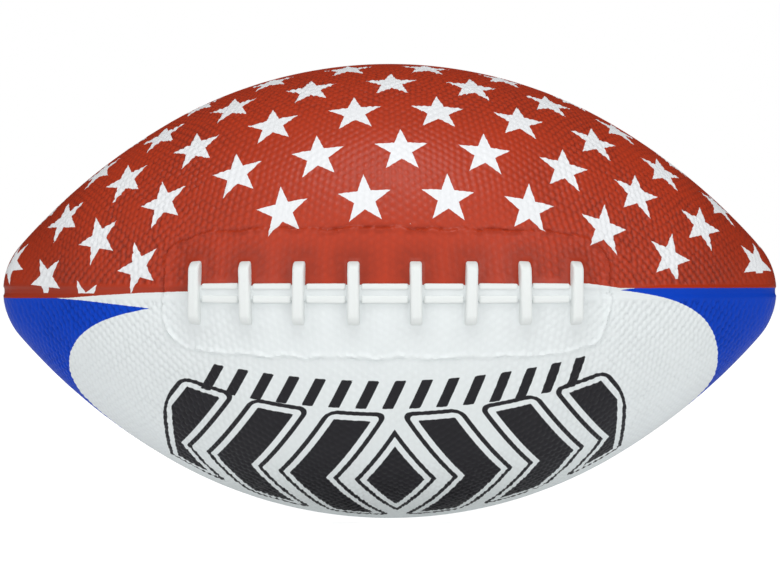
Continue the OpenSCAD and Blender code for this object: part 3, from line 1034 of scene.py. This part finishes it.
def lay_fields(mesh, upper, front):
    """Works out every field of a panel from where its vertices lie, with the panel in front."""
    places = points_of(mesh)
    r = np.hypot(places[:, 1], places[:, 2])
    arc, depth = BALL.locate(places[:, 0], r)
    angle = np.where(r > 1e-3, np.arctan2(places[:, 2], -places[:, 1]), PANEL_MIDDLE * (1 if upper else -1))
    _, r_cover, along, outward = BALL.at(arc)
    across = r_cover * angle
    star_u, star_w = sheet_place(arc, r_cover, angle, PANEL_MIDDLE)
    motif_u, motif_w = sheet_place(arc, r_cover, angle, -PANEL_MIDDLE)
    own_u, own_w = (star_u, star_w) if upper else (motif_u, motif_w)
    own_sheet = (0 if upper else LOWER_SHEET) + (0 if front else BACK_SHEET)
    far = np.full_like(arc, FAR_AWAY)

    # Relief
    laces = lace_distance(arc, across) if front else far
    store(mesh, "skin", 1 - smooth(depth, *SKIN_DEPTHS))
    store(mesh, "outward", np.stack([along, -outward * np.cos(angle), outward * np.sin(angle)], -1))
    store(mesh, "sheet", np.stack([own_u, own_w, np.full_like(arc, own_sheet)], -1))
    store(mesh, "edge", r_cover * np.minimum(np.abs(angle), QUARTER - np.abs(angle)))
    store(mesh, "oval", oval_distance(arc, across) if front else far)
    store(mesh, "lacing", laces)
    store(mesh, "rail", np.minimum(laces, rail_distance(arc, across)) if front else far)
    store(mesh, "tab", tab_distance(arc, across) if front else far)

    # Prints. Above zero is inside the red field, inside the blue ends and where stars may stand
    if front:
        red = across - np.interp(arc, *zip(*RED_EDGE))
        blue_top = np.interp(arc, *zip(*BLUE_EDGE)) - across
        star_cut = places[:, 2] - np.interp(places[:, 0], *zip(*STAR_EDGE))
    else:
        red = across
        blue_top = -across
        star_cut = across - STAR_MARGIN
    store(mesh, "red_field", red)
    store(mesh, "blue_field", np.minimum(blue_top, white_ends(arc, motif_w)))
    store(mesh, "star_field", np.where(stars_allowed(star_u, star_w), np.clip(star_cut, -1, 1), -1))
    store(mesh, "star_sheet", np.stack([star_u, star_w, np.zeros_like(arc)], -1))
    store(mesh, "motif", motif_distance(motif_u, motif_w) if front else far)
    store(mesh, "bars", bars_distance(motif_u, motif_w) if front else far)


# Materials

def material(name):
    """New material, its graph and its principled shader."""
    made = bpy.data.materials.new(name)
    made.use_nodes = True
    return made, Graph(made.node_tree), made.node_tree.nodes["Principled BSDF"]


def stored(graph, attribute, vector=False):
    """A number or a vector stored on the mesh, inside a material."""
    made = graph.node("ShaderNodeAttribute", attribute_name=attribute)
    return made.outputs["Vector" if vector else "Fac"]


def tinted(colour, share):
    """A colour with its light multiplied, up to white."""
    return tuple(min(1, share * part) for part in colour)


def bumped(graph, shader, height, strength, depth):
    """Gives a shader a fine relief, with its depth in millimetres."""
    bump = graph.node("ShaderNodeBump", {"Strength": strength, "Distance": depth * MM, "Height": height})
    graph.feed(shader.inputs["Normal"], bump.outputs[0])


def star_shape(graph, sheet):
    """Distance outside the nearest star of the sheet, as a straight-edged five-pointed star."""
    place = graph.vector("SUBTRACT", sheet, (*STAR_ORIGIN, 0))
    turned = graph.node("ShaderNodeVectorRotate", {"Vector": place, "Angle": -STAR_TURN},
                        rotation_type="Z_AXIS")
    x, y, _ = graph.split(turned.outputs[0])
    up = graph.math("WRAP", y, STAR_ROW_PITCH / 2, -STAR_ROW_PITCH / 2)
    shifted = graph.math("MULTIPLY_ADD", graph.math("SUBTRACT", y, up), -STAR_ROW_SHIFT / STAR_ROW_PITCH, x)
    side = graph.math("WRAP", shifted, STAR_PITCH / 2, -STAR_PITCH / 2)
    point = math.pi / 5
    around = graph.math("ABSOLUTE", graph.math("WRAP", graph.math("ARCTAN2", side, up), point, -point))
    reach = graph.length(graph.joined(up, side))
    notch = STAR_INNER_SHARE * np.array([math.cos(point), math.sin(point)])
    edge = notch - np.array([1, 0])
    normal = np.array([edge[1], -edge[0]]) / np.hypot(*edge)
    forward = graph.math("MULTIPLY", graph.math("COSINE", around), float(normal[0]))
    beside = graph.math("MULTIPLY", graph.math("SINE", around), float(normal[1]))
    out = graph.math("MULTIPLY", reach, graph.math("ADD", forward, beside))
    return graph.math("SUBTRACT", out, float(normal[0]) * STAR_RADIUS)


def motif_print(graph):
    """1 on the black of the motif, of the thin line round it and of the bars."""
    def within(distance, edge):
        return graph.step(distance, edge - MOTIF_SOFTNESS, edge + MOTIF_SOFTNESS, 1, 0)

    motif = stored(graph, "motif")
    line = graph.math("SUBTRACT", within(motif, MOTIF_LINE[1]), within(motif, MOTIF_LINE[0]))
    black = graph.math("MAXIMUM", within(motif, 0), line)
    return graph.math("MAXIMUM", black, within(stored(graph, "bars"), 0))


def cover_paint():
    """Semi-gloss paint on pebbled rubber: red with stars, white with blue ends, and the black motif."""
    made, graph, shader = material("printed_pebbled_rubber")
    sheet = stored(graph, "sheet", vector=True)
    valley = stored(graph, "valley")
    blue_field = stored(graph, "blue_field")
    ragged = graph.wander(sheet, PAINT_RAGGED_SCALE, PAINT_RAGGEDNESS)
    tone = graph.noise(sheet, PAINT_TONE_SCALE, 3)["Fac"]
    # Painted shade in the valleys of the grain, in the groove beside the wrinkle and by the seams
    low = graph.math("MULTIPLY", graph.math("POWER", valley, VALLEY_SHADE_POWER), VALLEY_SHADE_GAIN, clamp=True)
    # Painted shade that darkens the paint towards the tips
    far_out = graph.step(graph.math("ABSOLUTE", graph.split(sheet)[0]), *TIPS_DARKEN)
    # Painted shade beside the cross laces, broken up by noise
    lace_shade = graph.math("MULTIPLY", graph.step(stored(graph, "lacing"), *LACE_SHADE_REACH, 1, 0),
                       graph.step(graph.noise(sheet, LACE_SHADE_SCALE, 3)["Fac"], *LACE_SHADE_SPAN, LACE_SHADE_SHARE, 1))

    def inside(field):
        return graph.step(graph.math("ADD", field, ragged), -PAINT_SOFTNESS, PAINT_SOFTNESS)

    def paint(colour, valley_shade, tip_shade, lace_shading):
        plain = graph.mix_colour(tone, tinted(colour, 1 - PAINT_MOTTLE), tinted(colour, 1 + PAINT_MOTTLE))
        shaded = graph.mix_colour(low, plain, tinted(colour, valley_shade))
        # Painted shade: the paint goes to black towards the tips and beside the laces
        dark = graph.math("MAXIMUM", graph.math("MULTIPLY", far_out, tip_shade),
                          graph.math("MULTIPLY", lace_shade, lace_shading))
        return graph.mix_colour(dark, shaded, (0, 0, 0))

    star = graph.math("MULTIPLY", star_shape(graph, stored(graph, "star_sheet", vector=True)), -1)
    in_star = graph.math("MULTIPLY", inside(star), inside(stored(graph, "star_field")))
    upper = graph.mix_colour(in_star, paint(*RED_PAINT), paint(*STAR_PAINT))
    lower = graph.mix_colour(inside(blue_field), paint(*WHITE_PAINT), paint(*BLUE_PAINT))
    lower = graph.mix_colour(motif_print(graph), lower, BLACK_PAINT)
    colour = graph.mix_colour(inside(stored(graph, "red_field")), lower, upper)
    graph.feed(shader.inputs["Base Color"], colour)

    fine = graph.noise(sheet, PAINT_FINE_SCALE, 4, 0.6)["Fac"]
    rough = graph.math("ADD", graph.step(fine, *NOISE_SPAN, *PAINT_ROUGHNESS),
                       graph.math("MULTIPLY", valley, VALLEY_ROUGHNESS))
    graph.feed(shader.inputs["Roughness"], rough)
    shine = graph.step(blue_field, -SHINE_SOFTNESS, SHINE_SOFTNESS, PAINT_SHINE, BLUE_SHINE)
    graph.feed(shader.inputs["Specular IOR Level"], shine)
    bumped(graph, shader, fine, strength=0.25, depth=0.06)
    return made


def rubber(name, colour, rough=(0.45, 0.6), mottle=0.05):
    """Plain moulded rubber with a faint mottle and a fine matte grain."""
    made, graph, shader = material(name)
    place = graph.node("ShaderNodeTexCoord").outputs["Object"]
    cloudy = graph.noise(place, RUBBER_CLOUD_SCALE, 3)["Fac"]
    mottled = graph.mix_colour(cloudy, tinted(colour, 1 - mottle), tinted(colour, 1 + mottle))
    graph.feed(shader.inputs["Base Color"], mottled)
    fine = graph.noise(place, RUBBER_FINE_SCALE, 4, 0.6)["Fac"]
    graph.feed(shader.inputs["Roughness"], graph.step(fine, *NOISE_SPAN, *rough))
    bumped(graph, shader, fine, strength=0.3, depth=0.05)
    return made


def lace_rubber():
    """White moulded rubber, darkened towards the foot of each bar as painted shade."""
    made = rubber("lace_rubber", LACE_RUBBER, rough=(0.42, 0.52), mottle=0.02)
    graph = Graph(made.node_tree)
    colour = made.node_tree.nodes["Principled BSDF"].inputs["Base Color"]
    unshaded = colour.links[0].from_socket
    # Painted shade towards the foot of each bar
    lace_shading = tinted(LACE_RUBBER, LACE_FOOT_SHADE)
    graph.feed(colour, graph.mix_colour(stored(graph, "foot"), unshaded, lace_shading))
    return made


def woven(name, colour, pitch):
    """Cloth or wound thread: fine crossed lines over the colour."""
    made, graph, shader = material(name)
    place = graph.node("ShaderNodeTexCoord").outputs["Object"]
    lines = []
    for direction in ("X", "DIAGONAL"):
        wave = graph.node("ShaderNodeTexWave", {
            "Vector": place, "Scale": 1 / (6 * pitch * MM), "Distortion": 0.6,
        }, wave_type="BANDS", bands_direction=direction)
        lines.append(wave.outputs["Fac"])
    thread = graph.math("MAXIMUM", *lines)
    graph.feed(shader.inputs["Base Color"], graph.mix_colour(thread, tinted(colour, 0.6), colour))
    shader.inputs["Roughness"].default_value = 0.8
    bumped(graph, shader, thread, strength=0.5, depth=0.1)
    return made


def dress(node, finish):
    """Gives a CAD node its finish."""
    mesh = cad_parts[node].data
    mesh.materials.clear()
    mesh.materials.append(finish)


# Pieces

def bored(mesh, name):
    """Cuts the round hole for the valve through the lower panel."""
    panel = new_object(name + "_blank", mesh)
    bpy.ops.mesh.primitive_cylinder_add(vertices=VALVE_HOLE_SIDES, radius=VALVE_HOLE_RADIUS * MM,
                                        depth=BALL_RADIUS * MM)
    drill = bpy.context.object
    out = Vector((0, -math.cos(VALVE_ANGLE), -math.sin(VALVE_ANGLE)))
    drill.rotation_mode = "QUATERNION"
    drill.rotation_quaternion = out.to_track_quat("Z", "Y")
    drill.location = out * BALL_RADIUS * MM
    cut = panel.modifiers.new("bore", "BOOLEAN")
    cut.operation = "DIFFERENCE"
    cut.solver = "EXACT"
    cut.object = drill
    bpy.context.view_layer.update()
    made = evaluated_mesh(panel)
    bpy.data.objects.remove(panel)
    bpy.data.objects.remove(drill)
    return made


def turned_half_round(mesh):
    """Turns a mesh half a turn about the upright axis."""
    places = points_of(mesh) * MM
    places[:, :2] *= -1
    mesh.vertices.foreach_set("co", places.astype(np.float32).ravel())
    mesh.update()


def cover_panel(side, level, tree, finish):
    """One quarter of the cover. Back panels are made in front and turned half round."""
    name = f"pebbled_{side}_{level}"
    upper = level == "upper"
    front = side == "front"
    valve = not upper and not front
    points, triangles = gore(0 if upper else -QUARTER, VALVE_LINING_STEP if valve else LINING_STEP)
    mesh = plain_mesh(name, points, triangles)
    if valve:
        mesh = bored(mesh, name)
    lay_fields(mesh, upper, front)
    panel = grown(mesh, tree, {
        "Pebble Height": PEBBLE_HEIGHTS[level], "Lean": PEBBLE_LEAN if upper else -PEBBLE_LEAN,
        "Seed": PEBBLE_SEEDS[level], "Material": finish,
    }, name)
    if not front:
        turned_half_round(panel.data)
    panel.data.set_sharp_from_angle(angle=CREASE_ANGLE)
    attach(panel, "root")
    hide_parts(f"panel_{side}_{level}")


def runs_along(edge, axis):
    """True if an edge of a box runs along the axis."""
    way = edge.verts[0].co - edge.verts[1].co
    return all((abs(way[k]) > 1e-6) == (k == axis) for k in range(3))


def block_mesh(name, cuts):
    """A unit box with its faces divided, to be rounded and bent."""
    work = bmesh.new()
    bmesh.ops.create_cube(work, size=1)
    for axis, count in enumerate(cuts):
        lines = [edge for edge in work.edges if runs_along(edge, axis)]
        bmesh.ops.subdivide_edges(work, edges=lines, cuts=count, use_grid_fill=True)
    mesh = bpy.data.meshes.new(name)
    work.to_mesh(mesh)
    work.free()
    return mesh


def moulded_bar(name, tree, finish, size, along, cuts, **shape):
    """One moulded bar. The shape gives the tree's inputs that differ from their usual values."""
    values = {"Size": size, "Along": along, "Material": finish}
    values.update((label.title(), value) for label, value in shape.items())
    return grown(block_mesh(name, cuts), tree, values, name)


def cross_laces(tree, finish):
    """The eight cross laces, each a rounded bar with hooded ends, none quite like the next."""
    size = (LACE_WIDTH, LACE_LENGTH, LACE_HEIGHT + LACE_BED)
    for number in range(1, LACE_COUNT + 1):
        lace = moulded_bar(
            f"moulded_cross_lace_{number}", tree, finish, size, lace_place(number), LACE_CUTS,
            corner=LACE_CORNER, hood=HOOD_LENGTH, flare=LACE_FLARE, unevenness=LACE_UNEVENNESS,
            lean=LACE_SLANT * math.sin(LACE_SLANT_TURN * number), seed=float(number),
        )
        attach(lace, "root")
        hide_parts(f"cross_lace_{number}")


def rail_strand(level, place, width, tree, finish):
    """One strand of the rail: a thin core with a rounded length on it between each two cross laces."""
    core_size = (2 * lace_place(LACE_COUNT), CORE_WIDTH, CORE_HEIGHT + LACE_BED)
    parts = [moulded_bar("rail_core", tree, finish, core_size, 0.0, CORE_CUTS,
                         corner=CORE_CORNER, across=place)]
    for number in range(1, LACE_COUNT):
        left, right = lace_place(number), lace_place(number + 1)
        size = (right - left - LACE_WIDTH - 2 * STRAND_END_GAP, width, STRAND_HEIGHT + LACE_BED)
        parts.append(moulded_bar(
            "rail_length", tree, finish, size, (left + right) / 2, STRAND_CUTS, corner=STRAND_CORNER,
            across=place, unevenness=STRAND_UNEVENNESS, seed=number + STRAND_SEED_SHARE * width,
        ))
    bpy.ops.object.select_all(action="DESELECT")
    for part in parts:
        part.select_set(True)
    bpy.context.view_layer.objects.active = parts[0]
    bpy.ops.object.join()
    strand = parts[0]
    strand.name = f"moulded_rail_{level}"
    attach(strand, "root")
    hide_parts(f"lace_strand_{level}")


# Stage, light and camera

def place_camera():
    """Camera at the photograph's angle and distance, with its frame."""
    data = bpy.data.cameras.new("camera")
    camera = new_object("camera", data)
    back = Vector((math.sin(CAMERA_AZIMUTH) * math.cos(CAMERA_ELEVATION),
                   -math.cos(CAMERA_AZIMUTH) * math.cos(CAMERA_ELEVATION), math.sin(CAMERA_ELEVATION)))
    camera.location = back * CAMERA_DISTANCE * MM
    camera.rotation_euler = (-back).to_track_quat("-Z", "Y").to_euler()
    data.sensor_width = SENSOR_WIDTH
    data.lens = FOCAL_PIXELS / PHOTO_WIDTH * SENSOR_WIDTH
    data.shift_x = (PHOTO_WIDTH / 2 - MIDDLE_PIXEL[0]) / PHOTO_WIDTH
    data.shift_y = (MIDDLE_PIXEL[1] - PHOTO_HEIGHT / 2) / PHOTO_WIDTH
    data.clip_start, data.clip_end = CLIP_RANGE
    bpy.context.scene.camera = camera


def light_path(graph, camera, glossy, other):
    """A strength that differs for what the camera sees, for reflections and for all other light."""
    path = graph.node("ShaderNodeLightPath").outputs
    mirrored = graph.node("ShaderNodeMix", {0: path["Is Glossy Ray"], 2: other, 3: glossy}).outputs[0]
    return graph.node("ShaderNodeMix", {0: path["Is Camera Ray"], 2: mirrored, 3: camera}).outputs[0]


def lay_floor():
    """Pale floor under the ball, white to the camera and still darkened by the ball's shadow."""
    half = FLOOR_HALF_SIZE
    level = CAD_BOX[0].z
    mesh = bpy.data.meshes.new("floor")
    corners = [(-half, -half, level), (half, -half, level), (half, half, level), (-half, half, level)]
    mesh.from_pydata(corners, [], [(0, 1, 2, 3)])
    floor = new_object("floor", mesh)
    made, graph, shader = material("pale_floor")
    shader.inputs["Base Color"].default_value = (*FLOOR_COLOUR, 1)
    shader.inputs["Roughness"].default_value = 0.9
    glow = graph.node("ShaderNodeEmission", {"Strength": light_path(graph, *FLOOR_GLOW)})
    both = graph.node("ShaderNodeAddShader", {0: shader.outputs[0], 1: glow.outputs[0]})
    graph.feed(made.node_tree.nodes["Material Output"].inputs["Surface"], both.outputs[0])
    mesh.materials.append(made)


def light_studio():
    """A white room, lighter in front of the ball, with a soft light over it and one to either side."""
    world = bpy.data.worlds.new("studio")
    bpy.context.scene.world = world
    world.use_nodes = True
    graph = Graph(world.node_tree)
    room = world.node_tree.nodes["Background"]
    room.inputs["Color"].default_value = (1, 1, 1, 1)
    front = graph.math("MULTIPLY", graph.split(graph.node("ShaderNodeTexCoord").outputs["Generated"])[1], -1)
    front = graph.math("MAXIMUM", front, 0)
    strengths = [graph.math("MULTIPLY_ADD", front, more, plain)
                 for more, plain in zip(ROOM_FRONT, ROOM_LIGHT[1:])]
    graph.feed(room.inputs["Strength"], light_path(graph, ROOM_LIGHT[0], *strengths))
    for name, place, size, watts in SOFT_LIGHTS:
        data = bpy.data.lights.new(name, "AREA")
        data.shape = "RECTANGLE"
        data.size, data.size_y = size
        data.energy = watts
        lamp = new_object(name, data)
        lamp.location = place
        lamp.rotation_euler = (-Vector(place)).to_track_quat("-Z", "Y").to_euler()


bpy.context.scene.view_settings.view_transform = "Standard"
place_camera()
light_studio()
lay_floor()

cover_tree = pebbled_cover_tree()
bar_tree = moulded_bar_tree()
paint_finish = cover_paint()
lace_finish = lace_rubber()
valve_finish = rubber("valve_rubber", VALVE_RUBBER, mottle=0.2)

for side in ("front", "back"):
    for level in ("upper", "lower"):
        cover_panel(side, level, cover_tree, paint_finish)
cross_laces(bar_tree, lace_finish)
rail_strand("upper", *STRAND_UPPER, bar_tree, lace_finish)
rail_strand("lower", *STRAND_LOWER, bar_tree, lace_finish)
dress("valve_seat", valve_finish)
dress("valve_plug", valve_finish)
dress("bladder", rubber("bladder_rubber", BLADDER_RUBBER, mottle=0.12))
dress("rubber_carcass", rubber("carcass_rubber", CARCASS_RUBBER, mottle=0.2))
dress("nylon_winding", woven("wound_thread", THREAD, THREAD_PITCH))
dress("lacing_patch", woven("patch_cloth", PATCH_CLOTH, CLOTH_PITCH))
